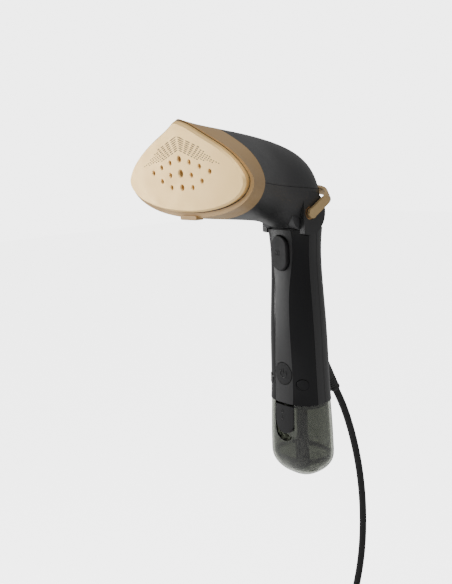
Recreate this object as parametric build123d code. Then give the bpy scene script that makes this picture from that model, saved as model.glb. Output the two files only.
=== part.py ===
"""Hand-held garment steamer with a tilting head, a clip-on water tank and a mains cord.

Millimetres.  +Z runs up the handle, the soleplate faces the front (-Y) and the steamer is
mirror-symmetric about X = 0.  The origin is the middle of the hand grip, on the handle's axis.
"""
from build123d import *
from math import atan2, cos, degrees, hypot, pi, radians, sin, sqrt, tan
import os

# ---------------------------------------------------------------- driving dimensions
WALL = 2.2                      # wall of the moulded casings
SEAM = 0.15                     # half of the gap between two casing pieces
RUN = 0.4                       # running clearance between moving pieces

GRIP_BOTTOM, GRIP_TOP = -90.0, 64.0         # handle casing, bottom rim and top rim
OVAL_POWER = 2.6                            # squareness of the handle's oval section
# height, half width, half depth of the handle casing
GRIP_SECTIONS = [
    (-90.0, 28.0, 22.0),
    (-42.0, 26.2, 20.7),
    (0.0, 24.3, 19.3),
    (30.0, 22.7, 18.2),
    (46.0, 22.6, 18.3),
    (64.0, 24.2, 19.5),
]
SIDE_FRONT_Y = -6.5             # where the gloss side panels end
SIDE_REAR_Y = 2.5               # where the rear cover starts

PIVOT_Y, PIVOT_Z = -7.0, 78.0   # hinge axis of the head, along X
HEAD_TILT = 23.5                # the head swings up this many degrees
DRUM_R, DRUM_HALF = 15.5, 19.8  # hinge drum on the handle
EAR_R, EAR_IN, EAR_OUT = 18.5, 20.3, 25.8   # round lobes of the head beside the drum
EAR_FRONT = -14.5               # the lobes are cut off straight at the front
PIN_R = 4.0
LEVER_SLOPE, LEVER_REACH, LEVER_HALF = 30.0, 37.2, 4.0  # yoke's rise, its reach back, half its height

PLATE_TILT = 4.17               # soleplate leans this far off vertical, its top forward
PLATE_Y, PLATE_Z = -120.6, 117.2            # centre vent hole on the soleplate's face
PLATE_W, PLATE_UP, PLATE_DOWN = 72.4, 39.0, 30.0    # half width, reach above and below the hole
PLATE_WIDEST = 6.5              # the plate is widest this far below the centre hole
PLATE_T = 5.0
BEZEL_Y = -88.0                 # the gold band ends here

TANK_TOP, TANK_BOTTOM = -84.0, -161.8
TANK_RIM, TANK_BELLY = -90.3, -140.0        # the clear wall runs from its rim down to the dome
TANK_W, TANK_D = 29.0, 22.8     # half width and half depth at the dome
TANK_WALL = 2.0

TRIGGER_Z, TRIGGER_W, TRIGGER_H = 44.0, 9.4, 15.4
POWER_Z, POWER_R = -63.2, 9.8
RELEASE_Z = -71.0

CORD_D = 7.0
COIL_R = 38.5                   # middle of the coil's turns
COIL_CENTRE = (84.0, -374.0)    # Y, Z of the coil's middle
COIL_HALF_WIDTH, COIL_HALF_DEPTH = 14.0, 7.0
BOOT_START = (22.0, -56.0)      # Y, Z where the strain relief leaves the casing
BOOT_END = (46.0, -92.5)        # Y, Z of its small end
# hanging stretch of the cord from the strain relief to the coil, Y and Z
CORD_ROUTE = [
    (46.0, -92.5),
    (53.5, -105.5),
    (62.5, -126.0),
    (71.0, -151.5),
    (78.0, -181.0),
    (82.0, -212.0),
    (82.5, -243.0),
    (79.5, -274.0),
    (71.5, -304.0),
    (58.5, -332.0),
    (47.0, -352.0),
]
# cord's tail from the coil to the plug, Y and Z
TAIL_ROUTE = [(42.0, -376.0), (40.0, -394.0), (40.5, -416.0)]


# ---------------------------------------------------------------- shared shapes
def oval_wire(z, half_width, half_depth):
    """Closed smooth oval, a little squarer than an ellipse, at height z."""
    points = []
    for step in range(24):
        turn = 2 * pi * step / 24
        side, front = sin(turn), cos(turn)
        x = half_width * abs(side) ** (2 / OVAL_POWER) * (1 if side >= 0 else -1)
        y = -half_depth * abs(front) ** (2 / OVAL_POWER) * (1 if front >= 0 else -1)
        points.append((x, y, z))
    return Wire([Edge.make_spline([Vector(*p) for p in points], periodic=True)])


def lofted(wires, ruled=False):
    """Solid through a row of closed sections."""
    return Part() + Solid.make_loft(wires, ruled=ruled)


def grip_solid(inset, low=GRIP_BOTTOM, high=GRIP_TOP):
    """The handle's oval body, drawn in by inset, between two heights."""
    body = lofted([oval_wire(z, w - inset, d - inset) for z, w, d in GRIP_SECTIONS])
    return body & Pos(0, 0, (low + high) / 2) * Box(100, 100, high - low)


def slab(x0, x1, y0, y1, z0, z1):
    """Box between two corners."""
    return Pos((x0 + x1) / 2, (y0 + y1) / 2, (z0 + z1) / 2) * Box(x1 - x0, y1 - y0, z1 - z0)


def rod(radius, start, end):
    """Round bar between two points."""
    axis = Vector(*end) - Vector(*start)
    plane = Plane(origin=start, z_dir=axis)
    return extrude(plane * Circle(radius), axis.length)


def ring(outer, inner, start, end):
    """Round tube between two points."""
    return rod(outer, start, end) - rod(inner, start, end)


def along_x(radius, x0, x1, y=PIVOT_Y, z=PIVOT_Z):
    """Round bar along X, on the hinge axis unless told otherwise."""
    return rod(radius, (x0, y, z), (x1, y, z))


def pill(half_width, half_height, y0, y1, z):
    """Upright pill-shaped block between two depths."""
    outline = Plane(origin=(0, y1, z), x_dir=(1, 0, 0), z_dir=(0, -1, 0)) * SlotOverall(
        2 * half_height, 2 * half_width, rotation=90)
    return extrude(outline, y1 - y0)


def coil_spring(radius, wire, pitch, start, end):
    """Compression spring between two points."""
    axis = Vector(*end) - Vector(*start)
    path = Helix(pitch, axis.length - wire, radius)
    section = Plane(origin=path @ 0, z_dir=path % 0) * Circle(wire / 2)
    spring = sweep(section, path=path)
    return Plane(origin=Vector(*start) + axis.normalized() * (wire / 2), z_dir=axis) * spring


# half outline of the soleplate: share of half width, share of the reach above or below
TEARDROP = [
    (0.0, 1.0), (0.11, 0.945), (0.37, 0.755), (0.646, 0.545), (0.836, 0.35), (0.955, 0.16),
    (1.0, 0.0), (0.955, -0.28), (0.82, -0.57), (0.53, -0.85), (0.0, -1.0),
]
OVAL_TURNS = [90, 77, 61, 44, 29, 13, 0, -18, -37, -60, -90]     # same points on a plain ellipse


def head_wire(bottom, top, half_width, widest, roundness, inset=0.0):
    """Closed section of the head: a teardrop that turns into an oval as roundness grows.

    bottom and top are (Y, Z) points, widest is the share of the height where it is widest.
    """
    up = Vector(0, top[0] - bottom[0], top[1] - bottom[1])
    height = up.length
    plane = Plane(origin=(0, bottom[0], bottom[1]), x_dir=(1, 0, 0), z_dir=Vector(1, 0, 0).cross(up))
    above, below = (1 - widest) * height - inset, widest * height - inset
    half = []
    for (drop_u, drop_v), turn in zip(TEARDROP, OVAL_TURNS):
        u = drop_u * (1 - roundness) + cos(radians(turn)) * roundness
        v = drop_v * (1 - roundness) + sin(radians(turn)) * roundness
        half.append((u * (half_width - inset), widest * height + v * (above if v > 0 else below)))
    points = half + [(-u, v) for u, v in reversed(half[1:-1])]
    edge = Edge.make_spline([plane.from_local_coords(Vector(u, v)) for u, v in points], periodic=True)
    return Wire([edge])


# bottom (Y, Z), top (Y, Z), half width, widest share, roundness: soleplate end to hinge end
HEAD_SECTIONS = [
    ((-113.4, 83.0), (-118.8, 157.9), 77.0, 0.37, 0.0),
    ((-102.5, 81.2), (-105.0, 154.4), 68.4, 0.38, 0.17),
    ((-88.0, 79.4), (-88.0, 151.2), 59.0, 0.41, 0.38),
    ((-62.0, 76.4), (-62.0, 146.4), 42.5, 0.42, 0.75),
    ((-44.0, 73.8), (-37.0, 141.0), 32.2, 0.43, 0.92),
    ((-34.0, 70.8), (-8.0, 131.4), 27.6, 0.45, 1.0),
    ((-26.0, 67.6), (13.5, 114.5), 25.6, 0.48, 1.0),
    ((-21.8, 66.2), (20.6, 93.0), 24.6, 0.5, 1.0),
    ((-20.3, 65.5), (21.3, 79.5), 24.3, 0.5, 1.0),
]


def head_solid(inset, first=0, last=None):
    """The head's body as one smooth solid, drawn in by inset."""
    rows = HEAD_SECTIONS[first:last]
    return lofted([head_wire(*row, inset=inset) for row in rows])


def plate_plane(behind):
    """Plane parallel to the soleplate's face, that far behind it, X right and Y up the plate."""
    lean = radians(PLATE_TILT)
    normal = Vector(0, -cos(lean), -sin(lean))
    origin = Vector(0, PLATE_Y, PLATE_Z) - normal * behind
    return Plane(origin=origin, x_dir=(1, 0, 0), z_dir=normal)


def plate_outline(behind, shrink):
    """Soleplate outline as a face, shrunk all round, that far behind the front face."""
    plane = plate_plane(behind)
    above, below = PLATE_UP + PLATE_WIDEST - shrink, PLATE_DOWN - PLATE_WIDEST - shrink
    half = []
    for u, v in TEARDROP:
        half.append((u * (PLATE_W - shrink), v * (above if v > 0 else below) - PLATE_WIDEST))
    points = half + [(-u, v) for u, v in reversed(half[1:-1])]
    edge = Edge.make_spline([plane.from_local_coords(Vector(u, v)) for u, v in points], periodic=True)
    return Face(Wire([edge]))


def plate_slab(behind, thickness, shrink):
    """Solid of the soleplate's outline, from behind to behind + thickness."""
    return extrude(plate_outline(behind + thickness, shrink), thickness, dir=plate_plane(0).z_dir)


def hinge_tilt(shape, angle):
    """Turn a shape about the hinge axis, its front going up."""
    return shape.rotate(Axis((0, PIVOT_Y, PIVOT_Z), (-1, 0, 0)), angle)


# ---------------------------------------------------------------- soleplate and boiler
# vent holes on the soleplate: across, up the plate, radius
VENTS = [(0, 0, 3.3), (0, 10.9, 2.7), (0, -10.7, 2.7)]
for across, up in ((12.1, 8.3), (23.8, 5.0), (35.4, 1.0), (13.1, -1.3), (25.1, -5.8), (13.3, -10.7)):
    VENTS += [(across, up, 2.1), (-across, up, 2.1)]


def soleplate():
    """Gold-coated aluminium plate with fifteen countersunk steam vents."""
    front = plate_outline(0, 1.6)
    shoulder = plate_outline(1.6, 0)
    back = plate_outline(PLATE_T, 0)
    plate = lofted([shoulder.outer_wire(), front.outer_wire()], ruled=True)
    plate += lofted([back.outer_wire(), shoulder.outer_wire()], ruled=True)
    face = plate_plane(0)
    for across, up, radius in VENTS:
        drill = face * Pos(across, up, -PLATE_T / 2) * Cylinder(radius * 0.78, PLATE_T + 2)
        sink = face * Pos(across, up, -0.5) * Cone(radius * 0.78, radius, 1.0)
        plate = plate - drill - sink
    return plate


def steam_chamber(element):
    """Cast aluminium boiler behind the soleplate, with a steam labyrinth open to the front."""
    block = plate_slab(PLATE_T, 15.0, 17.0)
    labyrinth = plate_slab(PLATE_T - 1, 5.0, 21.0)
    return block - labyrinth - element


def heating_element():
    """U-shaped sheathed heating rod cast into the boiler, its cold ends sticking out at the back."""
    plane = plate_plane(PLATE_T + 9.0)
    leg, half = 30.0, 13.0
    path = [(-half, -9.0), (-half - leg * 0.35, 3.0), (0.0, 20.0), (half + leg * 0.35, 3.0), (half, -9.0)]
    points = [plane.from_local_coords(Vector(*p)) for p in path]
    line = FilletPolyline(*points, radius=6.0)
    section = Plane(origin=line @ 0, z_dir=line % 0) * Circle(3.3)
    bar = sweep(section, path=line)
    tails = Part()
    for side in (-1, 1):
        start = plane.from_local_coords(Vector(side * half, -9.0, 0))
        end = plane.from_local_coords(Vector(side * half, -9.0, -14.0))
        tails += rod(3.0, tuple(start), tuple(end))
    return bar + tails


def chamber_cover():
    """Pressed cover that closes the boiler at the back."""
    cover = plate_slab(PLATE_T + 15.0, 3.0, 18.5)
    plane = plate_plane(PLATE_T + 16.5)
    for side in (-1, 1):
        cover -= plane * Pos(side * 13.0, -9.0, 0) * Cylinder(3.3, 8)
    cover -= plane * Pos(0, 6.0, 0) * Cylinder(2.6, 8)
    return cover


def steam_inlet():
    """Brass nozzle that lets water into the boiler."""
    plane = plate_plane(PLATE_T + 21.0) * Pos(0, 6.0, 0)
    return plane * Cylinder(2.5, 12.0) - plane * Cylinder(1.3, 14.0)


def plate_gasket():
    """Silicone ring between the hot plate and the gold bezel."""
    return plate_slab(PLATE_T, 1.2, -0.8) - plate_slab(PLATE_T - 1, 4.0, 3.6)


def heat_shield():
    """Heat-proof frame that carries the boiler inside the bezel."""
    frame = plate_slab(PLATE_T + 1.4, 8.0, 8.5) - plate_slab(PLATE_T, 12.0, 16.6)
    return frame


def thermostat():
    """Snap-disc thermostat on the boiler's cover."""
    plane = plate_plane(PLATE_T + 18.0)
    can = plane * Pos(28, -2, -2.0) * Cylinder(8.0, 4.0)
    cap = plane * Pos(28, -2, -6.5) * Cylinder(6.6, 5.0)
    tabs = Part()
    for side in (-1, 1):
        tabs += plane * Pos(28 + side * 3.5, -2, -11.0) * Box(0.8, 4.0, 4.0)
    return can + cap + tabs


def thermal_fuse():
    """One-shot thermal fuse under a clip on the boiler's cover."""
    plane = plate_plane(PLATE_T + 18.0)
    body = plane * Pos(-28, -2, -2.4) * Rot(0, 90, 0) * Cylinder(2.2, 14.0)
    clip = plane * Pos(-28, -2, -0.4) * Box(6.0, 12.0, 0.8)
    return body + clip


# ---------------------------------------------------------------- head casings
def bezel():
    """Gold band round the soleplate, with the small accessory latch tab under its lip."""
    band = head_solid(0.0, 0, 4) & slab(-90, 90, -130, BEZEL_Y - SEAM, 60, 170)
    band -= head_solid(WALL, 0, 4) & slab(-90, 90, -107.0, -60, 60, 170)
    band -= plate_slab(-6.0, 19.0, 4.4)
    band -= plate_slab(-6.0, 24.0, 8.0)
    band -= plate_slab(-6.0, PLATE_T + 7.2, -0.9)
    tab = slab(-10.5, 9.5, -115.4, -108.5, 81.2, 84.6)
    tab = fillet(tab.edges().filter_by(Axis.Y), 1.2)
    return band + (tab - plate_slab(-6.0, 30.0, -2.6))


def seam_wedge(above):
    """Half-space above or below the long seam between the head's two casings."""
    slope = degrees(atan2(95.9 - 107.8, 20.0 + 88.0))
    block = Box(200, 260, 120)
    shift = 60 + SEAM if above else -60 - SEAM
    return Pos(0, -88.0, 107.8) * Rot(slope, 0, 0) * Pos(0, 0, shift) * block


def head_shell():
    """Whole plastic shell of the head behind the gold band."""
    shell = head_solid(0.0) - head_solid(WALL)
    return shell & slab(-90, 90, BEZEL_Y + SEAM, 60, 40, 170)


def head_upper_casing(shell):
    """Upper casing of the head, from the gold band over the top to the back."""
    return shell & seam_wedge(True)


def head_lower_casing(shell):
    """Lower casing of the head: underside, flanks and the round lobes that turn on the hinge pins."""
    casing = shell & seam_wedge(False)
    casing -= along_x(DRUM_R + 0.6, -EAR_IN, EAR_IN)
    for side in (-1, 1):
        casing += along_x(EAR_R, side * EAR_IN, side * EAR_OUT) & slab(-40, 40, EAR_FRONT, 40, 40, 120)
        casing -= along_x(5.6, side * 15, side * 30)
    return casing - slab(-3.4, 3.4, 10, 30, 77.0, 95.0)


def hinge_bush(side):
    """Plain bearing bush in one lobe."""
    return ring(5.55, PIN_R + 0.02, (side * EAR_IN, PIVOT_Y, PIVOT_Z), (side * (EAR_OUT - 0.4), PIVOT_Y, PIVOT_Z))


def hinge_pin(side):
    """Steel pin that carries one lobe of the head."""
    pin = along_x(PIN_R, side * 14.0, side * (EAR_OUT - 0.4))
    return pin


def lever_plane():
    """Plane of the yoke: through the hinge axis, rising to the back."""
    slope = radians(LEVER_SLOPE)
    return Plane(origin=(0, PIVOT_Y, PIVOT_Z), x_dir=(1, 0, 0), z_dir=(0, -sin(slope), cos(slope)))


def yoke_outline(half_width, reach):
    """Arms that run straight back past the lobes, closed by half an ellipse."""
    straight = EAR_R + 0.5
    arms = Pos(0, straight / 2) * Rectangle(2 * half_width, straight)
    return arms + Pos(0, straight) * Ellipse(half_width, reach - straight)


def lock_lever():
    """Gold yoke that wraps the back of the hinge and frees the tilt when its back is pressed."""
    inner_w, outer_w = EAR_OUT + 0.9, EAR_OUT + 3.6
    outline = yoke_outline(outer_w, LEVER_REACH) - yoke_outline(inner_w, LEVER_REACH - 2.7)
    band = extrude(outline, LEVER_HALF, both=True) & slab(-40, 40, 1.0, 60, -10, 10)
    band = lever_plane() * band
    for side in (-1, 1):
        band += along_x(LEVER_HALF + 0.4, side * inner_w, side * outer_w)
    return band


def lock_bolt():
    """Steel bolt on the lever that drops into the notches of the detent sector."""
    return lever_plane() * slab(-2.6, 2.6, 20.5, LEVER_REACH - 2.75, -3.9, -0.9)


# ---------------------------------------------------------------- handle
def grip_shell():
    """Whole outer tube of the handle, open at both ends, with the saddle for the lobes."""
    shell = grip_solid(0.0) - grip_solid(WALL, GRIP_BOTTOM - 1, GRIP_TOP + 1)
    for side in (-1, 1):
        shell -= along_x(EAR_R + RUN + 0.2, side * (DRUM_HALF + 0.1), side * 40)
    return shell - along_x(DRUM_R + RUN, -DRUM_HALF - RUN, DRUM_HALF + RUN)


def front_strip(inset):
    """Prism over the front strip of the handle, waisted in the middle."""
    right = [(10.8, -91.0), (10.8, -60.0), (8.9, -20.0), (8.8, 14.0), (12.0, 38.0), (12.4, 65.0)]
    right = [(x - inset, z) for x, z in right]
    side_curve = Spline(*[(x, 0, z) for x, z in right])
    mirror_curve = Spline(*[(-x, 0, z) for x, z in reversed(right)])
    top = Line((right[-1][0], 0, 65.0), (-right[-1][0], 0, 65.0))
    low = Line((-right[0][0], 0, -91.0), (right[0][0], 0, -91.0))
    outline = make_face([side_curve, top, mirror_curve, low])
    return extrude(outline, 40, dir=(0, -1, 0))


def release_hole(side, radius):
    """Round bar where one tank release button passes through the side panel."""
    return rod(radius, (side * 8.0, -11.0, RELEASE_Z), (side * 32.0, -23.0, RELEASE_Z))


def front_cover(shell):
    """Satin front cover of the handle, with the trigger pocket and the power button's hole."""
    cover = shell & front_strip(SEAM)
    cover -= pill(TRIGGER_W + 0.5, TRIGGER_H + 0.5, -30, -8, TRIGGER_Z)
    cover -= rod(POWER_R + 0.5, (0, -30, POWER_Z), (0, -8, POWER_Z))
    return cover


def side_panel(shell, side):
    """Gloss side panel of the handle."""
    panel = shell & slab(min(0, side * 40), max(0, side * 40), -40, SIDE_FRONT_Y - SEAM, -95, 70)
    panel -= front_strip(-SEAM)
    return panel - release_hole(side, 5.1)


def side_rail(shell, side):
    """Satin rail between the gloss panel and the rear cover."""
    return shell & slab(min(0, side * 40), max(0, side * 40), SIDE_FRONT_Y + SEAM, SIDE_REAR_Y - SEAM, -95, 70)


def boot_cone(grow=0.0):
    """Tapered round body of the strain relief."""
    start, end = Vector(0, *BOOT_START), Vector(0, *BOOT_END)
    axis = end - start
    plane = Plane(origin=start + axis * 0.5, z_dir=axis)
    return plane * Cone(8.6 + grow, 4.7 + grow, axis.length)


def rear_cover(shell):
    """Satin rear cover of the handle, with the hole for the strain relief."""
    cover = shell & slab(-40, 40, SIDE_REAR_Y + SEAM, 40, -95, 70)
    return cover - boot_cone(0.1)


def chassis():
    """Inner frame: spine plate, top block and the hinge drum that carries the head."""
    spine = slab(-15, 15, 9.0, 11.0, -72, 52)
    block = slab(-14, 14, -8.8, 11.0, 50, 66) & grip_solid(WALL + 0.3, 40, 64)
    block += slab(-14, 14, -14.5, 6.0, 62.5, 72)
    drum = along_x(DRUM_R, -DRUM_HALF, DRUM_HALF)
    frame = spine + block + drum
    frame -= along_x(DRUM_R - 3.5, -13.5, 13.5)
    for side in (-1, 1):
        frame -= along_x(PIN_R + 0.01, side * 13, side * 22)
    frame -= slab(-9, 9, -11.0, 5.5, 45, 76)
    frame -= slab(-9, 9, -40, PIVOT_Y, PIVOT_Z - 6, PIVOT_Z + 6)
    frame -= hinge_tilt(slab(-9, 9, -40, PIVOT_Y, PIVOT_Z - 6, PIVOT_Z + 6), HEAD_TILT)
    for z in (-60, -20, 30):
        frame -= rod(1.6, (0, 5, z), (0, 15, z))
    return frame


def detent_sector():
    """Notched steel sector on the drum that sets the head's tilt."""
    sector = ring(DRUM_R + 3.2, DRUM_R + 0.02, (-2.5, PIVOT_Y, PIVOT_Z), (2.5, PIVOT_Y, PIVOT_Z))
    return sector & slab(-5, 5, PIVOT_Y, 40, PIVOT_Z - 5.5, PIVOT_Z + 9)


def case_screws():
    """Three self-tapping screws that hold the spine to the rear cover's posts."""
    group = Part()
    for z in (-60, -20, 30):
        group += rod(1.45, (0, 8.0, z), (0, 15.5, z)) + rod(2.9, (0, 6.2, z), (0, 8.6, z))
    return group


def trigger():
    """Steam trigger: proud pill-shaped pad with a stepped root inside the handle."""
    face_y = -21.0
    pad = pill(TRIGGER_W, TRIGGER_H, face_y, -13.2, TRIGGER_Z)
    pad = fillet(pad.faces().sort_by(Axis.Y)[0].edges(), 1.3)
    root = slab(-6.0, 6.0, -13.6, -12.2, TRIGGER_Z - 12, TRIGGER_Z + 12)
    return pad + root


def trigger_spring():
    """Return spring of the steam trigger."""
    return coil_spring(2.6, 0.6, 1.2, (0, -5.6, TRIGGER_Z - 9), (0, -12.2, TRIGGER_Z - 9))


def trigger_bridge():
    """Moulded bridge behind the trigger that holds the microswitch and the spring."""
    bridge = slab(-15, 15, -5.6, -3.6, TRIGGER_Z - 14, TRIGGER_Z + 5.5)
    legs = Part()
    for side in (-1, 1):
        legs += slab(min(side * 13, side * 15), max(side * 13, side * 15), -3.6, 9.0, TRIGGER_Z - 14, TRIGGER_Z + 5.5)
    return bridge + legs


def microswitch():
    """Snap-action microswitch worked by the trigger."""
    body = slab(-3.2, 3.2, -8.2, -5.6, TRIGGER_Z - 5.5, TRIGGER_Z + 5.0)
    plunger = slab(-1.0, 1.0, -9.3, -8.2, TRIGGER_Z - 1.0, TRIGGER_Z + 1.0)
    return body + plunger


def power_button():
    """Round power key, flush in its hole."""
    key = rod(POWER_R, (0, -23.5, POWER_Z), (0, -15.6, POWER_Z)) & grip_solid(-0.25)
    return key + rod(2.0, (0, -16.0, POWER_Z), (0, -14.4, POWER_Z))


def control_board():
    """Circuit board behind the power key."""
    board = slab(-13, 13, -10.6, -9.0, -74, -18)
    parts = slab(-12, -5, -9.0, -4.0, -40, -28) + slab(5, 12, -9.0, -2.5, -52, -36)
    return board + parts


def tact_switch():
    """Key switch on the circuit board."""
    return slab(-3, 3, -12.6, -10.6, POWER_Z - 3, POWER_Z + 3) + \
        rod(1.6, (0, -12.6, POWER_Z), (0, -13.4, POWER_Z))


def release_button(side):
    """Small oval tank release button with its latch finger."""
    key = rod(4.7, (side * 13.0, -13.5, RELEASE_Z), (side * 32.0, -23.0, RELEASE_Z))
    key &= grip_solid(-0.5)
    key -= grip_solid(3.6, -95, 64)
    finger = slab(min(side * 17.0, side * 20.0), max(side * 17.0, side * 20.0), -15.0, -9.5, -83.2, -66.5)
    finger &= grip_solid(WALL + 0.9, -95, 64)
    return key + finger


def pump():
    """Electromagnetic water pump."""
    body = slab(-12, 12, -6.5, 8.2, -12, 22)
    body = fillet(body.edges().filter_by(Axis.Z), 2.0)
    body += rod(2.4, (0, 2.5, 22), (0, 2.5, 27))
    body += rod(2.4, (0, 0, -12), (0, 0, -17))
    return body


def intake_hose():
    """Silicone hose from the tank coupling up to the pump."""
    return ring(3.8, 2.42, (0, 0, -78.9), (0, 0, -12.6))


def steam_hose():
    """Silicone hose from the pump through the hinge to the boiler."""
    plane = plate_plane(PLATE_T + 21.0)
    end = plane.from_local_coords(Vector(0, 6.0, -1.5))
    before = plane.from_local_coords(Vector(0, 6.0, -24.0))
    points = [Vector(0, 2.5, 22.6), Vector(0, 2.5, 42.0), Vector(0, -5.0, 74.0), Vector(0, -36.0, 96.0),
              before, end]
    line = FilletPolyline(*points, radius=14.0)
    outer = sweep(Plane(origin=line @ 0, z_dir=line % 0) * Circle(3.7), path=line)
    inner = sweep(Plane(origin=line @ 0, z_dir=line % 0) * Circle(2.55), path=line)
    return outer - inner


def tank_socket():
    """Floor of the handle, with the valve socket that the tank plugs into."""
    floor = grip_solid(WALL + 0.05, -79.0, -76.0)
    socket = rod(7.5, (0, 0, -82.6), (0, 0, -76.0))
    body = floor + socket
    body -= rod(3.9, (0, 0, -90), (0, 0, -70))
    for side in (-1, 1):
        body -= slab(min(side * 15.0, side * 24), max(side * 15.0, side * 24), -16.5, -8.3, -90, -70)
    return body - boot_cone(0.3)


# ---------------------------------------------------------------- water tank
def tank_wires(inset):
    """Evenly spaced sections of the tank from its rim down to its domed bottom."""
    wires = []
    for step in range(7):
        share = step / 7
        swell = sin(share * pi / 2)
        z = TANK_RIM + (TANK_BELLY - TANK_RIM) * share
        wires.append(oval_wire(z, TANK_W - 1.7 + 1.7 * swell - inset, TANK_D - 1.4 + 1.4 * swell - inset))
    depth = TANK_BELLY - TANK_BOTTOM - inset
    for turn in range(0, 85, 14):
        scale = cos(radians(turn))
        z = TANK_BELLY - depth * sin(radians(turn))
        wires.append(oval_wire(z, (TANK_W - inset) * scale, (TANK_D - inset) * scale))
    return wires


def tank_solid(inset):
    """The tank's outer body, drawn in by inset."""
    return lofted(tank_wires(inset))


def tongue(half_width, top, bottom, y0, y1):
    """Upright tongue with a round lower end, for the filler flap and its recess."""
    straight = slab(-half_width, half_width, y0, y1, bottom + half_width, top)
    return straight + rod(half_width, (0, y0, bottom + half_width), (0, y1, bottom + half_width))


def tank_shell():
    """Smoky clear tank with the recess for the filler flap in its front."""
    hollow = tank_solid(TANK_WALL) - tongue(13.4, -89.0, -127.0, -30, -16.2)
    pocket = tongue(11.6, -89.0, -125.4, -30, -17.6)
    shell = tank_solid(0.0) - hollow - pocket
    return shell - rod(5.4, (0, -20, -110), (0, -14, -110))


def tank_cap():
    """Black lid of the tank, with the collar that plugs into the handle."""
    lid = slab(-40, 40, -40, 40, -93.5, TANK_RIM) & tank_solid(TANK_WALL + 0.05)
    lid -= tongue(13.5, -80, -127.0, -30, -16.1)
    collar = lofted([oval_wire(TANK_RIM - 0.6, 24.6, 18.6), oval_wire(TANK_TOP, 24.6, 18.6)], ruled=True)
    collar -= slab(-14.5, 14.5, -40, -15.4, -95, -80)
    cap = lid + collar
    cap -= rod(8.0, (0, 0, -100), (0, 0, -80))
    return cap


def tank_valve():
    """Spring valve in the lid that opens when the tank is in place."""
    return ring(7.9, 4.1, (0, 0, -93.0), (0, 0, -84.2))


def tank_seal():
    """O-ring round the valve."""
    return Pos(0, 0, -83.4) * Torus(5.6, 0.75)


def suction_tube():
    """Dip tube from the valve down into the tank."""
    return ring(5.2, 2.4, (0, 0, -130.0), (0, 0, -93.4)) + ring(4.1, 2.4, (0, 0, -93.4), (0, 0, -84.4))


def filter_sleeve():
    """Wider lower sleeve of the dip tube that holds the water filter."""
    return ring(6.0, 5.22, (0, 0, -153.0), (0, 0, -128.0))


def filter_foot():
    """Weighted foot at the bottom of the dip tube, pointing forwards."""
    foot = slab(-5.5, 5.5, -13.5, 6.5, -156.5, -150.0)
    foot = fillet(foot.edges().filter_by(Axis.Z), 3.5)
    foot &= tank_solid(TANK_WALL + 0.6)
    return foot - rod(6.02, (0, 0, -153.0), (0, 0, -140.0))


def tank_ring():
    """Weld ring inside the tank where the dome joins the wall."""
    band = slab(-40, 40, -40, 40, -143.4, -139.9)
    return (tank_solid(TANK_WALL + 0.02) & band) - (tank_solid(TANK_WALL + 1.6) & band)


FLAP_HINGE = (-19.4, -93.9)     # Y, Z of the filler flap's hinge


def filler_flap():
    """Black filler flap on the front of the tank."""
    shape = tongue(11.0, FLAP_HINGE[1] + 1.3, -118.3, -30, -18.9)
    flap = shape & tank_solid(0.0)
    flap += rod(1.3, (-10.9, FLAP_HINGE[0], FLAP_HINGE[1]), (10.9, FLAP_HINGE[0], FLAP_HINGE[1]))
    return flap


def filler_bung():
    """Soft bung on the back of the flap that closes the filler hole."""
    return rod(4.7, (0, -18.9, -110), (0, -15.2, -110))


# ---------------------------------------------------------------- cord and plug
def strain_relief():
    """Tapered rubber boot where the cord leaves the back of the handle."""
    boot = boot_cone() - grip_solid(WALL - 0.02, -95, 64)
    start, end = Vector(0, *BOOT_START), Vector(0, *BOOT_END)
    axis = (end - start).normalized()
    collar = Plane(origin=end - axis * 1.6, z_dir=axis) * Cylinder(5.1, 3.2)
    boot += collar
    return boot - Plane(origin=end, z_dir=axis) * Cylinder(CORD_D / 2 + 0.02, 16.0)


def route_radii(route):
    """Bend radius at each inner point of a route: 0.45 of the shorter run over tan(half turn)."""
    radii = []
    for before, here, after in zip(route, route[1:], route[2:]):
        run_in = hypot(here[0] - before[0], here[1] - before[1])
        run_out = hypot(after[0] - here[0], after[1] - here[1])
        turn = Vector(0, here[0] - before[0], here[1] - before[1]).get_angle(
            Vector(0, after[0] - here[0], after[1] - here[1]))
        radii.append(0.45 * min(run_in, run_out) / tan(radians(turn) / 2))
    return radii


def cord_tube(route):
    """Round cord along a route of straight runs joined by tangent arcs."""
    radii = route_radii(route)
    print("cord radii", [round(r, 1) for r in radii])
    line = FilletPolyline(*[Vector(0, y, z) for y, z in route], radius=radii)
    tube = sweep(Plane(origin=line @ 0, z_dir=line % 0) * Circle(CORD_D / 2), path=line)
    print("cord length", round(line.length, 1), "volume ratio",
          round(tube.volume / (line.length * pi * CORD_D ** 2 / 4), 4))
    return tube


def coil_ring(radius, half_width, half_depth):
    """Ring with a rounded section, its axis along X, round the coil's centre."""
    section = Plane.XY * Pos(0, radius) * RectangleRounded(2 * half_width, 2 * half_depth, 3.4)
    return Pos(0, *COIL_CENTRE) * revolve(section, Axis.X)


def cord_coil():
    """Outer shape of the wound-up length of cord."""
    return coil_ring(COIL_R, COIL_HALF_WIDTH, COIL_HALF_DEPTH)


def cord_tie():
    """Strap that holds the turns of the coil together."""
    turn = radians(62)
    place = (COIL_CENTRE[0] + COIL_R * cos(turn), COIL_CENTRE[1] + COIL_R * sin(turn))
    plane = Plane(origin=(0, place[0], place[1]), x_dir=(1, 0, 0), z_dir=(0, -sin(turn), cos(turn)))
    outer = RectangleRounded(2 * COIL_HALF_WIDTH + 3.4, 2 * COIL_HALF_DEPTH + 3.4, 4.2)
    inner = RectangleRounded(2 * COIL_HALF_WIDTH + 0.6, 2 * COIL_HALF_DEPTH + 0.6, 3.0)
    return plane * extrude(outer - inner, 6.5, both=True)


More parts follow.
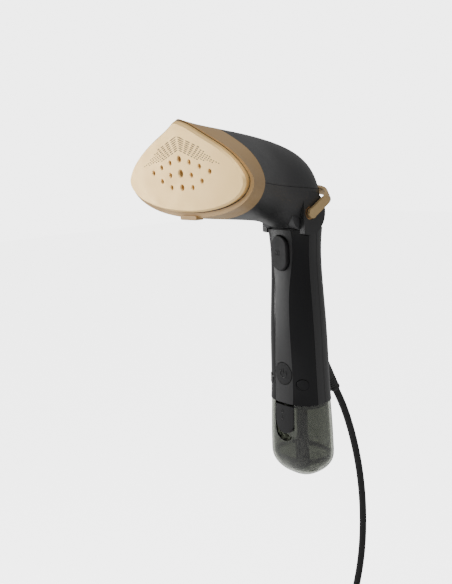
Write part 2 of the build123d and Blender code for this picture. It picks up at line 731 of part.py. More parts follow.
def plug_body():
    """Moulded two-pin earthed plug body with its own tapered tail."""
    end_y, end_z = TAIL_ROUTE[-1]
    tail = Pos(0, end_y, end_z - 9.0) * Cone(8.5, 4.6, 18.0)
    neck = Pos(0, end_y, end_z - 24.0) * Cylinder(13.5, 13.0)
    head = Pos(0, end_y, end_z - 39.0) * Cylinder(19.0, 18.0)
    body = tail + neck + head
    body = fillet(body.edges().filter_by(GeomType.CIRCLE).sort_by(Axis.Z)[0], 1.2)
    for side in (-1, 1):
        body -= Pos(side * 19.5, end_y, end_z - 39.0) * Box(5.0, 9.0, 19.0)
    return body


def plug_pins():
    """Two round plug pins, 4.8 mm thick and 19 mm apart."""
    end_y, end_z = TAIL_ROUTE[-1]
    pins = Part()
    for side in (-1, 1):
        pins += rod(2.4, (0, end_y + side * 9.5, end_z - 67.0), (0, end_y + side * 9.5, end_z - 48.0))
    return pins


# ---------------------------------------------------------------- write every piece
def build_parts():
    """All pieces by node name."""
    pieces = {}
    element = heating_element()
    pieces["soleplate"] = soleplate()
    pieces["heating_element"] = element
    pieces["steam_chamber"] = steam_chamber(element)
    pieces["chamber_cover"] = chamber_cover()
    pieces["steam_inlet"] = steam_inlet()
    pieces["plate_gasket"] = plate_gasket()
    pieces["heat_shield"] = heat_shield()
    pieces["thermostat"] = thermostat()
    pieces["thermal_fuse"] = thermal_fuse()
    pieces["bezel"] = bezel()
    shell = head_shell()
    pieces["head_upper_casing"] = head_upper_casing(shell)
    pieces["head_lower_casing"] = head_lower_casing(shell)
    pieces["lock_lever"] = lock_lever()
    pieces["lock_bolt"] = lock_bolt()
    grip = grip_shell()
    pieces["front_cover"] = front_cover(grip)
    pieces["rear_cover"] = rear_cover(grip)
    for name, side in (("left", -1), ("right", 1)):
        pieces[f"hinge_bush_{name}"] = hinge_bush(side)
        pieces[f"hinge_pin_{name}"] = hinge_pin(side)
        pieces[f"side_panel_{name}"] = side_panel(grip, side)
        pieces[f"side_rail_{name}"] = side_rail(grip, side)
        pieces[f"release_button_{name}"] = release_button(side)
    pieces["chassis"] = chassis()
    pieces["detent_sector"] = detent_sector()
    pieces["case_screws"] = case_screws()
    pieces["steam_trigger"] = trigger()
    pieces["trigger_spring"] = trigger_spring()
    pieces["trigger_bridge"] = trigger_bridge()
    pieces["microswitch"] = microswitch()
    pieces["power_button"] = power_button()
    pieces["control_board"] = control_board()
    pieces["tact_switch"] = tact_switch()
    pieces["pump"] = pump()
    pieces["intake_hose"] = intake_hose()
    pieces["steam_hose"] = steam_hose()
    pieces["tank_socket"] = tank_socket()
    pieces["tank_shell"] = tank_shell()
    pieces["tank_cap"] = tank_cap()
    pieces["tank_valve"] = tank_valve()
    pieces["tank_seal"] = tank_seal()
    pieces["tank_ring"] = tank_ring()
    pieces["suction_tube"] = suction_tube()
    pieces["filter_sleeve"] = filter_sleeve()
    pieces["filter_foot"] = filter_foot()
    pieces["filler_flap"] = filler_flap()
    pieces["filler_bung"] = filler_bung()
    pieces["strain_relief"] = strain_relief()
    pieces["power_cord"] = cord_tube(CORD_ROUTE)
    pieces["cord_coil"] = cord_coil()
    pieces["cord_tail"] = cord_tube(TAIL_ROUTE)
    pieces["cord_tie"] = cord_tie()
    pieces["plug_body"] = plug_body()
    pieces["plug_pins"] = plug_pins()
    return pieces


os.makedirs("parts", exist_ok=True)
for node, piece in build_parts().items():
    export_step(piece, f"parts/{node}.step")
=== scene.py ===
"""Looks of a hand-held garment steamer: gold vented soleplate on a tilting black head, oval
grip with trigger and power key, smoky clip-on water tank, and a mains cord with its plug."""
from math import cos, pi, radians, sin

import bpy
from mathutils import Matrix, Vector


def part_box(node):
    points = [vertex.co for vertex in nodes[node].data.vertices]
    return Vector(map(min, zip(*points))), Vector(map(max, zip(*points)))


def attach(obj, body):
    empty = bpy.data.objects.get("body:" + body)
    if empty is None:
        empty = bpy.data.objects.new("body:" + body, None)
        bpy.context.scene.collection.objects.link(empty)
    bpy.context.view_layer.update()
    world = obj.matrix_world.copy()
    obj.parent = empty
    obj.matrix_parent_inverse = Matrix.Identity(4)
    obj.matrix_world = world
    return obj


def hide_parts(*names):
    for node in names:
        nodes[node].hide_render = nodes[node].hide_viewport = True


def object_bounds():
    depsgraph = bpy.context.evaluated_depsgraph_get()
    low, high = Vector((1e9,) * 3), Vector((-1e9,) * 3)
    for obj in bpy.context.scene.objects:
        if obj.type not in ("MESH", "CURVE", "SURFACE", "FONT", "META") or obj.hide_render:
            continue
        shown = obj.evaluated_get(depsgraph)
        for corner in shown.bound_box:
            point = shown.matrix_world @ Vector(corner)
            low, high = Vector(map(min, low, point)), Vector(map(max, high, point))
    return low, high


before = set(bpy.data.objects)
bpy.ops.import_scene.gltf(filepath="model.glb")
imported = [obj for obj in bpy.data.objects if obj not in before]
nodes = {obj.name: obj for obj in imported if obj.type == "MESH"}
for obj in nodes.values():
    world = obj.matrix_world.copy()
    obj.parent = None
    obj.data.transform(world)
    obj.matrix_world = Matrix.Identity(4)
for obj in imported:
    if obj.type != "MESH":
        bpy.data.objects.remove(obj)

cad_box = [list(corner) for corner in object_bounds()]
MM = 0.001


# ---------------------------------------------------------------- mains cord
# Round black mains lead, 7 mm thick, with a smooth soft jacket.  It hangs from the handle's
# strain relief and its spare length is wound into a tied coil that ends in the plug.
def blotch_group():
    """Node group: two colours in soft blotches, a fine grain and an uneven polish."""
    group = bpy.data.node_groups.new("moulded grain", "ShaderNodeTree")
    sockets = (
        ("Vector", "NodeSocketVector"), ("Dark", "NodeSocketColor"), ("Light", "NodeSocketColor"),
        ("Blotches", "NodeSocketFloat"), ("Grain", "NodeSocketFloat"), ("Depth", "NodeSocketFloat"),
        ("Polished", "NodeSocketFloat"), ("Dull", "NodeSocketFloat"),
    )
    for name, kind in sockets:
        group.interface.new_socket(name, in_out="INPUT", socket_type=kind)
    outcomes = (
        ("Color", "NodeSocketColor"), ("Roughness", "NodeSocketFloat"), ("Normal", "NodeSocketVector"),
    )
    for name, kind in outcomes:
        group.interface.new_socket(name, in_out="OUTPUT", socket_type=kind)
    make, link = group.nodes.new, group.links.new
    given, result = make("NodeGroupInput"), make("NodeGroupOutput")
    patches, smears, grain = [make("ShaderNodeTexNoise") for _ in range(3)]
    patches.inputs["Detail"].default_value = 4.0
    smears.inputs["Detail"].default_value = 6.0
    grain.inputs["Detail"].default_value = 2.0
    for texture in (patches, smears, grain):
        link(given.outputs["Vector"], texture.inputs["Vector"])
    link(given.outputs["Blotches"], patches.inputs["Scale"])
    wider = make("ShaderNodeMath")
    wider.operation = "MULTIPLY"
    wider.inputs[1].default_value = 2.7
    link(given.outputs["Blotches"], wider.inputs[0])
    link(wider.outputs[0], smears.inputs["Scale"])
    link(given.outputs["Grain"], grain.inputs["Scale"])
    tint = make("ShaderNodeMix")
    tint.data_type = "RGBA"
    link(patches.outputs["Fac"], tint.inputs["Factor"])
    link(given.outputs["Dark"], tint.inputs["A"])
    link(given.outputs["Light"], tint.inputs["B"])
    polish = make("ShaderNodeMapRange")
    polish.inputs["From Min"].default_value = 0.3
    polish.inputs["From Max"].default_value = 0.7
    link(smears.outputs["Fac"], polish.inputs["Value"])
    link(given.outputs["Polished"], polish.inputs["To Min"])
    link(given.outputs["Dull"], polish.inputs["To Max"])
    bump = make("ShaderNodeBump")
    bump.inputs["Distance"].default_value = 0.0003
    link(given.outputs["Depth"], bump.inputs["Strength"])
    link(grain.outputs["Fac"], bump.inputs["Height"])
    link(tint.outputs["Result"], result.inputs["Color"])
    link(polish.outputs["Result"], result.inputs["Roughness"])
    link(bump.outputs["Normal"], result.inputs["Normal"])
    return group


MOULDED_GRAIN = blotch_group()


def finish(name, dark, light, polished, dull, metallic=0.0, blotches=50.0, grain=2200.0, depth=0.15,
           stretch=(1, 1, 1), specular=0.5):
    """Material of one finish: two close colours, a grain that may be drawn out, and a polish range."""
    material = bpy.data.materials.new(name)
    material.use_nodes = True
    tree = material.node_tree
    shader = tree.nodes["Principled BSDF"]
    place = tree.nodes.new("ShaderNodeTexCoord")
    turn = tree.nodes.new("ShaderNodeMapping")
    turn.inputs["Scale"].default_value = stretch
    look = tree.nodes.new("ShaderNodeGroup")
    look.node_tree = MOULDED_GRAIN
    look.inputs["Dark"].default_value = (*dark, 1.0)
    look.inputs["Light"].default_value = (*light, 1.0)
    look.inputs["Blotches"].default_value = blotches
    look.inputs["Grain"].default_value = grain
    look.inputs["Depth"].default_value = depth
    look.inputs["Polished"].default_value = polished
    look.inputs["Dull"].default_value = dull
    tree.links.new(place.outputs["Object"], turn.inputs["Vector"])
    tree.links.new(turn.outputs["Vector"], look.inputs["Vector"])
    tree.links.new(look.outputs["Color"], shader.inputs["Base Color"])
    tree.links.new(look.outputs["Roughness"], shader.inputs["Roughness"])
    tree.links.new(look.outputs["Normal"], shader.inputs["Normal"])
    shader.inputs["Metallic"].default_value = metallic
    shader.inputs["Specular IOR Level"].default_value = specular
    return material


def coat(material, *names):
    """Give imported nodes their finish."""
    for name in names:
        for slot in nodes[name].material_slots:
            slot.material = material


CORD_D = 7.0 * MM
BOOT_END = Vector((0, 46.0, -92.5)) * MM
COIL_Y, COIL_Z = 84.0 * MM, -374.0 * MM
LANE = 7.1 * MM                     # turns lie this far apart, side by side
OUTER_R, INNER_R = 42.0 * MM, 35.0 * MM
STEPS = 16                          # control points in each turn
ENTRY = 150                         # angle where the cord meets the coil, in degrees
TURNS = 6                           # full turns of the coil, and one step more
CHANGE = 56                         # degrees that a change of lane takes
PULL_IN = 0.981                     # the curve runs inside its control points by this much

hanging = [
    (46.0, -92.5),
    (53.5, -105.5),
    (62.5, -126.0),
    (71.0, -151.5),
    (78.0, -181.0),
    (82.0, -212.0),
    (82.5, -243.0),
    (79.5, -274.0),
    (71.5, -304.0),
    (58.5, -332.0),
    (47.0, -352.0),
]
tail = [(-7.1, 42.0, -380.0), (-4.5, 41.0, -397.0), (0.0, 40.5, -416.0)]

# where the wound cord changes lane: middle of the change in degrees, new X and radius, and swing
lanes = [
    (315, LANE, OUTER_R, 0.0),
    (675, 1.5 * LANE, INNER_R, 2.4 * MM),
    (990, 0.5 * LANE, INNER_R, 0.0),
    (1350, -0.5 * LANE, INNER_R, 0.0),
    (1710, -1.5 * LANE, INNER_R, 0.0),
    (2025, -LANE, OUTER_R, -2.4 * MM),
]


def coil_point(turned):
    """Control point of the wound cord after that many degrees."""
    x, radius = 0.0, OUTER_R
    for middle, next_x, next_radius, swing in lanes:
        share = min(1.0, max(0.0, (turned - middle + CHANGE / 2) / CHANGE))
        ease = share * share * (3 - 2 * share)
        x += (next_x - x) * ease + swing * sin(pi * share)
        radius += (next_radius - radius) * ease
    radius /= PULL_IN
    angle = radians(ENTRY + turned)
    return (x, COIL_Y + radius * cos(angle), COIL_Z + radius * sin(angle))


route = [(0.0, y * MM, z * MM) for y, z in hanging]
route += [coil_point(step * 360 / STEPS) for step in range(1, TURNS * STEPS + 2)]
route += [(x * MM, y * MM, z * MM) for x, y, z in tail]

cord_line = bpy.data.curves.new("mains_cord", "CURVE")
cord_line.dimensions = "3D"
spline = cord_line.splines.new("NURBS")
spline.points.add(len(route) - 1)
for point, place in zip(spline.points, route):
    point.co = (*place, 1.0)
spline.order_u = 3
spline.use_endpoint_u = True
spline.resolution_u = 8
cord_line.bevel_depth = CORD_D / 2
cord_line.bevel_resolution = 6
cord_line.use_fill_caps = True
cord = bpy.data.objects.new("mains_cord", cord_line)
bpy.context.scene.collection.objects.link(cord)
jacket = finish("cord_jacket", (0.0022, 0.0022, 0.0022), (0.005, 0.005, 0.005), 0.46, 0.6, blotches=90,
                depth=0.2, specular=0.3)
cord.data.materials.append(jacket)
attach(cord, "handle")
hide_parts("power_cord", "cord_coil", "cord_tail")


# ---------------------------------------------------------------- strain relief
# Soft rubber boot that guides the cord out of the back of the handle.  It tapers from the
# casing down to a thicker lip round the cord, with shallow flex grooves near the lip.
def turned_piece(name, profile, base, axis, sides=48):
    """Round piece drawn up along an axis through (distance, radius) rings, both ends closed."""
    bpy.ops.object.select_all(action="DESELECT")
    bpy.ops.mesh.primitive_circle_add(vertices=sides, radius=profile[0][1], fill_type="NGON")
    piece = bpy.context.object
    piece.name = piece.data.name = name
    bpy.ops.object.mode_set(mode="EDIT")
    bpy.ops.mesh.select_all(action="SELECT")
    for (low, r_low), (high, r_high) in zip(profile, profile[1:]):
        bpy.ops.mesh.extrude_region_move(TRANSFORM_OT_translate={"value": (0, 0, high - low)})
        scale = r_high / r_low
        bpy.ops.transform.resize(value=(scale, scale, 1))
    bpy.ops.mesh.select_all(action="SELECT")
    bpy.ops.mesh.normals_make_consistent(inside=False)
    bpy.ops.object.mode_set(mode="OBJECT")
    piece.rotation_euler = Vector(axis).to_track_quat("Z", "Y").to_euler()
    piece.location = Vector(base) + Vector(axis).normalized() * profile[0][0]
    bpy.ops.object.transform_apply(location=True, rotation=True, scale=True)
    bpy.ops.object.shade_smooth_by_angle(angle=radians(40))
    return piece


BOOT_START = Vector((0, 22.0, -56.0)) * MM
boot_axis = BOOT_END - BOOT_START
boot_length = boot_axis.length
boot_profile = [(0.0, 8.55 * MM)]
for groove in range(5):
    middle = boot_length - (15.5 - 2.6 * groove) * MM
    around = (8.6 - 3.9 * middle / boot_length) * MM
    boot_profile += [(middle - 0.7 * MM, around), (middle - 0.35 * MM, around - 0.45 * MM)]
    boot_profile += [(middle + 0.35 * MM, around - 0.45 * MM), (middle + 0.7 * MM, around - 0.06 * MM)]
boot_profile += [
    (boot_length - 3.6 * MM, 5.0 * MM),
    (boot_length - 3.2 * MM, 5.15 * MM),
    (boot_length - 0.6 * MM, 5.15 * MM),
    (boot_length - 0.1 * MM, 4.75 * MM),
    (boot_length, 4.2 * MM),
    (boot_length, 3.3 * MM),
]
boot = turned_piece("cord_boot", boot_profile, BOOT_START, boot_axis)
boot.data.materials.append(
    finish("boot_rubber", (0.005, 0.005, 0.005), (0.010, 0.010, 0.010), 0.42, 0.58, blotches=120, depth=0.3,
           specular=0.35))
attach(boot, "handle")
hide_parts("strain_relief")


# ---------------------------------------------------------------- plug
# Moulded round two-pin mains plug: a ribbed tail, a waisted finger grip and a flat contact
# face with two nickel pins 19 mm apart and a spring strip for earth on each side.
def block(place, size):
    """Plain box of a size about a point, as a cutter or the start of a piece."""
    bpy.ops.object.select_all(action="DESELECT")
    bpy.ops.mesh.primitive_cube_add(size=1, location=place)
    box = bpy.context.object
    box.scale = size
    bpy.ops.object.transform_apply(location=True, rotation=True, scale=True)
    return box


def break_edges(piece, width):
    """Take the sharpness off the active piece's edges."""
    edge = piece.modifiers.new("rounding", "BEVEL")
    edge.width = width
    edge.segments = 2
    bpy.ops.object.modifier_apply(modifier="rounding")


plug_low, plug_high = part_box("plug_body")
plug_y = (plug_low.y + plug_high.y) / 2
plug_profile = [(0.0, 4.3 * MM), (0.6 * MM, 4.8 * MM)]
for rib in range(4):
    start = 2.2 + 3.6 * rib
    radius = 4.9 + 0.85 * rib
    plug_profile += [(start * MM, radius * MM), ((start + 0.4) * MM, (radius + 0.7) * MM)]
    plug_profile += [((start + 2.0) * MM, (radius + 1.1) * MM), ((start + 2.4) * MM, (radius + 0.5) * MM)]
plug_profile += [
    (16.6 * MM, 9.6 * MM),
    (17.6 * MM, 11.6 * MM),
    (19.6 * MM, 12.8 * MM),
    (24.0 * MM, 13.3 * MM),
    (27.5 * MM, 14.2 * MM),
    (29.6 * MM, 16.4 * MM),
    (30.8 * MM, 18.2 * MM),
    (32.2 * MM, 18.9 * MM),
    (46.6 * MM, 18.9 * MM),
    (47.6 * MM, 18.5 * MM),
    (48.0 * MM, 17.6 * MM),
]
HEAD_DROP = 39 * MM                 # middle of the plug's wide head, below the cord's end
STRIP_HALF = 8.8 * MM               # half the height of an earth strip
plug = turned_piece("mains_plug", plug_profile, (0, plug_y, plug_high.z), (0, 0, -1), sides=64)
for side in (-1, 1):
    notch = block((side * 19.5 * MM, plug_y, plug_high.z - HEAD_DROP), (5 * MM, 9 * MM, 19 * MM))
    cut = plug.modifiers.new("notch", "BOOLEAN")
    cut.operation = "DIFFERENCE"
    cut.object = notch
    bpy.context.view_layer.objects.active = plug
    bpy.ops.object.modifier_apply(modifier="notch")
    bpy.data.objects.remove(notch)
plug.data.materials.append(
    finish("plug_pvc", (0.005, 0.005, 0.005), (0.010, 0.010, 0.010), 0.36, 0.5, blotches=80, depth=0.3,
           specular=0.4))
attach(plug, "handle")
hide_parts("plug_body")
coat(finish("nickel_pins", (0.55, 0.53, 0.50), (0.68, 0.66, 0.62), 0.2, 0.34, metallic=1.0, blotches=300,
            stretch=(1, 1, 0.15)), "plug_pins")

for side in (-1, 1):
    strip = block((side * 17.2 * MM, plug_y, plug_high.z - HEAD_DROP), (0.8 * MM, 5.2 * MM, 2 * STRIP_HALF))
    strip.name = strip.data.name = "earth_strip_left" if side < 0 else "earth_strip_right"
    bpy.ops.object.mode_set(mode="EDIT")
    bpy.ops.mesh.select_all(action="SELECT")
    bpy.ops.mesh.subdivide(number_cuts=3)
    bpy.ops.mesh.select_all(action="DESELECT")
    bpy.ops.object.mode_set(mode="OBJECT")
    for vertex in strip.data.vertices:
        lift = 1 - ((vertex.co.z - plug_high.z + HEAD_DROP) / STRIP_HALF) ** 2
        vertex.co.x += side * 0.9 * MM * lift
    break_edges(strip, 0.2 * MM)
    bpy.ops.object.shade_smooth_by_angle(angle=radians(40))
    strip.data.materials.append(bpy.data.materials["nickel_pins"])
    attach(strip, "handle")


# ---------------------------------------------------------------- cord tie
# Woven hook-and-loop strap, 13 mm wide, wrapped once round all the turns of the coil, with
# its free end pressed back on itself.
def woven(name, dark, light, threads):
    """Webbing: fine crossed threads that run with the strap and across it."""
    material = finish(name, dark, light, 0.75, 0.9, blotches=200, grain=5000, depth=0.4)
    tree = material.node_tree
    shader = tree.nodes["Principled BSDF"]
    place = tree.nodes["Texture Coordinate"]
    height = tree.nodes.new("ShaderNodeMath")
    height.operation = "MULTIPLY"
    for socket, direction in zip(height.inputs, ("X", "Z")):
        wave = tree.nodes.new("ShaderNodeTexWave")
        wave.bands_direction = direction
        wave.inputs["Scale"].default_value = threads
        wave.inputs["Distortion"].default_value = 0.4
        tree.links.new(place.outputs["Object"], wave.inputs["Vector"])
        tree.links.new(wave.outputs["Fac"], socket)
    bump = tree.nodes.new("ShaderNodeBump")
    bump.inputs["Strength"].default_value = 0.7
    bump.inputs["Distance"].default_value = 0.0004
    tree.links.new(height.outputs[0], bump.inputs["Height"])
    tree.links.new(bump.outputs["Normal"], shader.inputs["Normal"])
    return material


TIE_ANGLE = radians(62)
TIE_WIDTH = 13.0 * MM
TIE_LENGTH, TIE_DEPTH = 30.2 * MM, 16.2 * MM     # the loop's size round the turns
strap = block((0, 0, 0), (TIE_LENGTH, TIE_DEPTH, TIE_WIDTH))
strap.name = strap.data.name = "cord_strap"
bpy.ops.object.mode_set(mode="EDIT")
bpy.ops.mesh.select_mode(type="FACE")
bpy.ops.mesh.select_all(action="DESELECT")
bpy.ops.object.mode_set(mode="OBJECT")
for face in strap.data.polygons:
    face.select = abs(face.normal.z) > 0.9
bpy.ops.object.mode_set(mode="EDIT")
bpy.ops.mesh.delete(type="ONLY_FACE")
bpy.ops.mesh.select_mode(type="EDGE")
bpy.ops.mesh.select_all(action="SELECT")
bpy.ops.object.mode_set(mode="OBJECT")
for edge in strap.data.edges:
    ends = [strap.data.vertices[i].co for i in edge.vertices]
    edge.select = abs(ends[0].z - ends[1].z) > TIE_WIDTH / 2
bpy.ops.object.mode_set(mode="EDIT")
bpy.ops.mesh.bevel(offset=4.2 * MM, segments=8, affect="EDGES")
bpy.ops.object.mode_set(mode="OBJECT")
wall = strap.modifiers.new("thickness", "SOLIDIFY")
wall.thickness = 1.1 * MM
wall.offset = 0
bpy.ops.object.modifier_apply(modifier="thickness")
FREE_END = 0.9 * MM                 # thickness of the strap's free end
flap_end = block((4.0 * MM, TIE_DEPTH / 2 + FREE_END, 0), (19 * MM, FREE_END, TIE_WIDTH - 0.6 * MM))
strap.select_set(True)
bpy.context.view_layer.objects.active = strap
bpy.ops.object.join()
break_edges(strap, 0.25 * MM)
coil_mid = (OUTER_R + INNER_R) / 2
strap_across = Vector((0, cos(TIE_ANGLE), sin(TIE_ANGLE)))
strap_along = Vector((0, -sin(TIE_ANGLE), cos(TIE_ANGLE)))
turn_in = Matrix((Vector((1, 0, 0)), strap_across, strap_along)).transposed().to_4x4()
strap.matrix_world = Matrix.Translation(Vector((0, COIL_Y, COIL_Z)) + strap_across * coil_mid) @ turn_in
bpy.ops.object.transform_apply(location=True, rotation=True, scale=True)
bpy.ops.object.shade_smooth_by_angle(angle=radians(40))
strap.data.materials.append(woven("strap_weave", (0.012, 0.012, 0.012), (0.03, 0.03, 0.03), 330))
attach(strap, "handle")
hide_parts("cord_tie")


# ---------------------------------------------------------------- soleplate
# Cast aluminium plate with a champagne-gold ceramic coat, satin and very finely speckled.
# Fifteen countersunk vents are drilled in it, under a chevron of small pressed dimples.
plate_coat = finish("plate_gold", (0.90, 0.60, 0.235), (0.96, 0.67, 0.29), 0.36, 0.46, metallic=0.62,
                    blotches=25, grain=1600, depth=0.25)
coat(plate_coat, "soleplate")

PLATE_TILT = radians(4.17)
PLATE_CENTRE = Vector((0, -120.6, 117.2)) * MM
plate_up = Vector((0, -sin(PLATE_TILT), cos(PLATE_TILT)))
plate_out = Vector((0, -cos(PLATE_TILT), -sin(PLATE_TILT)))
DIMPLE_DEPTH = 0.12 * MM
WING_SLOPE = radians(-19.5)
row_reach = [27.0, 34.0, 41.0, 50.0, 43.0, 34.0, 24.0]      # length of each row of dimples, in mm

bpy.ops.object.select_all(action="DESELECT")
bpy.ops.mesh.primitive_cylinder_add(vertices=12, radius=0.5, depth=1.0)
dimple = bpy.context.object
bpy.ops.object.mode_set(mode="EDIT")
bpy.ops.mesh.select_mode(type="FACE")
bpy.ops.mesh.select_all(action="DESELECT")
bpy.ops.object.mode_set(mode="OBJECT")
for face in dimple.data.polygons:
    face.select = face.normal.z > 0.9
bpy.ops.object.mode_set(mode="EDIT")
bpy.ops.mesh.inset(thickness=0.12)
bpy.ops.transform.translate(value=(0, 0, -0.3))
bpy.ops.object.mode_set(mode="OBJECT")

FOCUS = 6.0                         # the gaps between dimples aim at a point this far up the plate, in mm
TIP_UP, ROW_PITCH = 28.0, 1.66      # chevron's top above the plate's centre, and the rows' spacing, in mm
LONGEST, SHORTEST = 10.5, 2.9       # pitch of the dimples along a row, at the tip and at the ends, in mm
FADE_REACH = 56                     # the dimples would fade out this far along a row, in mm
dimples = []
for side in (-1, 1):
    for row, reach in enumerate(row_reach):
        fan = (TIP_UP - ROW_PITCH * row - FOCUS) / (TIP_UP - FOCUS)
        along = 0.7
        while along + 1.0 < reach:
            fade = along / FADE_REACH
            cell = max(SHORTEST, LONGEST * fan * (1 - 1.25 * fade))
            length = cell * (0.87 - 0.5 * fade)
            height = 0.80 + 0.25 * fade
            middle = along + length / 2
            across = side * middle * cos(WING_SLOPE)
            up = TIP_UP - ROW_PITCH * row + middle * sin(WING_SLOPE)
            mark = dimple.copy()
            mark.data = dimple.data.copy()
            bpy.context.scene.collection.objects.link(mark)
            slant = Matrix.Rotation(side * WING_SLOPE, 4, "Z")
            size = Matrix.Diagonal((length * MM, height * MM, DIMPLE_DEPTH, 1))
            axes = Matrix((Vector((1, 0, 0)), plate_up, plate_out)).transposed().to_4x4()
            spot = PLATE_CENTRE + Vector((across * MM, 0, 0)) + plate_up * (up * MM)
            mark.data.transform(Matrix.Translation(spot) @ axes @ slant @ size)
            dimples.append(mark)
            along += cell
bpy.data.objects.remove(dimple)
bpy.ops.object.select_all(action="DESELECT")
for mark in dimples:
    mark.select_set(True)
bpy.context.view_layer.objects.active = dimples[0]
bpy.ops.object.join()
dimple_field = bpy.context.object
dimple_field.name = dimple_field.data.name = "soleplate_dimples"
bpy.ops.object.mode_set(mode="EDIT")
bpy.ops.mesh.select_all(action="SELECT")
bpy.ops.mesh.normals_make_consistent(inside=False)
bpy.ops.object.mode_set(mode="OBJECT")
# The dimples are coloured dark brown: painted shade in their shallow hollows, not a colour of the coat.
dimple_field.data.materials.clear()
dimple_field.data.materials.append(
    finish("dimple_painted_shade", (0.055, 0.045, 0.032), (0.085, 0.07, 0.05), 0.5, 0.6, metallic=0.2, depth=0.1))
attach(dimple_field, "head")


# ---------------------------------------------------------------- bezel
# Matte gold painted band that frames the hot plate, with a thin black silicone ring inside
# it and a small latch tab under its lower lip.
coat(finish("band_gold", (0.36, 0.225, 0.095), (0.42, 0.27, 0.12), 0.46, 0.58, metallic=0.4, blotches=18,
            grain=2600, depth=0.18), "bezel")
coat(finish("gasket_black", (0.008, 0.007, 0.006), (0.014, 0.012, 0.010), 0.5, 0.65),
     "plate_gasket", "heat_shield")


# ---------------------------------------------------------------- head casings
# Two injection-moulded shells in satin black with a very fine spark-eroded texture.  They meet
# at one long seam on the flanks, and the lower one carries the two lobes that turn on the hinge.
casing_black = finish("casing_satin", (0.010, 0.010, 0.0105), (0.014, 0.014, 0.0145), 0.38, 0.46, blotches=14,
                      grain=2400, depth=0.22)
coat(casing_black, "head_upper_casing", "head_lower_casing")


# ---------------------------------------------------------------- tilt lock and hinge
# Brushed gold yoke round the back of the hinge, with a steel bolt that points at a steel
# sector on the drum.  Steel pins run in sintered bronze bushes in the lobes.
coat(finish("lever_gold", (0.50, 0.34, 0.16), (0.62, 0.44, 0.22), 0.30, 0.42, metallic=0.75, blotches=60,
            grain=900, depth=0.35, stretch=(0.15, 1, 1)), "lock_lever")
steel = finish("turned_steel", (0.42, 0.42, 0.42), (0.56, 0.56, 0.55), 0.24, 0.4, metallic=1.0, blotches=120,
               stretch=(1, 1, 0.2))
coat(steel, "lock_bolt", "detent_sector", "hinge_pin_left", "hinge_pin_right", "case_screws",
     "trigger_spring")
coat(finish("sintered_bronze", (0.36, 0.20, 0.09), (0.46, 0.28, 0.13), 0.4, 0.6, metallic=0.9, blotches=400),
     "hinge_bush_left", "hinge_bush_right")


# ---------------------------------------------------------------- handle shells
# Moulded shells round a glass-filled nylon frame: satin front and rear covers and rails, with
# a gloss black panel let in on each side.
coat(casing_black, "front_cover", "rear_cover", "side_rail_left", "side_rail_right")
gloss_black = finish("panel_gloss", (0.003, 0.003, 0.0035), (0.0045, 0.0045, 0.005), 0.12, 0.2, blotches=12,
                     grain=300, depth=0.02, specular=0.28)
coat(gloss_black, "side_panel_left", "side_panel_right")
coat(finish("frame_pa66", (0.03, 0.03, 0.032), (0.05, 0.05, 0.052), 0.5, 0.65, blotches=90),
     "chassis", "trigger_bridge", "tank_socket")


# ---------------------------------------------------------------- trigger and power key
# Soft-touch pill-shaped steam trigger and a flush round power key, each with a raised symbol,
# and the gloss buttons on the flanks that let the water tank go.
key_black = finish("key_soft_touch", (0.0055, 0.0055, 0.006), (0.0085, 0.0085, 0.009), 0.46, 0.56,
                   blotches=30, grain=3000, depth=0.25, specular=0.3)
coat(key_black, "steam_trigger", "power_button")
coat(gloss_black, "release_button_left", "release_button_right")
symbol_black = finish("symbol_gloss", (0.003, 0.003, 0.003), (0.005, 0.005, 0.005), 0.25, 0.4, depth=0.05)


IN_FRONT = -80 * MM                 # the strokes are laid on from here, clear of the handle


def symbol(name, node, body, strokes, thickness):
    """Raised symbol on the front of a node: each stroke is a list of (X, Z) points in mm."""
    line = bpy.data.curves.new(name, "CURVE")
    line.dimensions = "3D"
    line.bevel_depth = thickness / 2 * MM
    line.bevel_resolution = 2
    line.use_fill_caps = True
    for stroke in strokes:
        run = line.splines.new("POLY")
        run.points.add(len(stroke) - 1)
        for point, (x, z) in zip(run.points, stroke):
            start = Vector((x * MM, IN_FRONT, z * MM))
            _, spot, _, _ = nodes[node].ray_cast(start, Vector((0, 1, 0)))
            point.co = (*spot, 1.0)
    drawn = bpy.data.objects.new(name, line)
    bpy.context.scene.collection.objects.link(drawn)
    bpy.ops.object.select_all(action="DESELECT")
    drawn.select_set(True)
    bpy.context.view_layer.objects.active = drawn
    bpy.ops.object.convert(target="MESH")
    drawn.data.materials.append(symbol_black)
    bpy.ops.object.shade_smooth_by_angle(angle=radians(60))
    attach(drawn, body)


def arc(x, z, radius, start, end, steps=20):
    """Points on an arc, angles in degrees from straight up, clockwise."""
    turns = [radians(start + (end - start) * i / steps) for i in range(steps + 1)]
    return [(x + radius * sin(t), z + radius * cos(t)) for t in turns]


POWER_Z, TRIGGER_Z = -63.2, 44.5
symbol("power_symbol", "power_button", "power_key",
       [arc(0, POWER_Z, 3.6, 35, 325), [(0, POWER_Z + 0.4), (0, POWER_Z + 4.4)]], 0.9)
waves = []
for wave_x in (-3.6, -1.6, 0.4):
    waves.append([(wave_x + 0.55 * sin(1.1 * step), TRIGGER_Z - 2.6 + step * 0.45) for step in range(12)])
symbol("steam_symbol", "steam_trigger", "trigger", waves, 0.5)


# ---------------------------------------------------------------- water tank
# Smoky clear tank blown in tough plastic, with a black lid, a dip tube with its filter and
# foot, a weld ring at the dome and a black filler flap on the front.
def smoked_clear(name, tint):
    """Clear tinted plastic with faint flow marks."""
    material = finish(name, tint, [c * 1.06 for c in tint], 0.03, 0.07, blotches=20, grain=60, depth=0.04)
    shader = material.node_tree.nodes["Principled BSDF"]
    shader.inputs["Transmission Weight"].default_value = 1.0
    shader.inputs["IOR"].default_value = 1.49
    return material


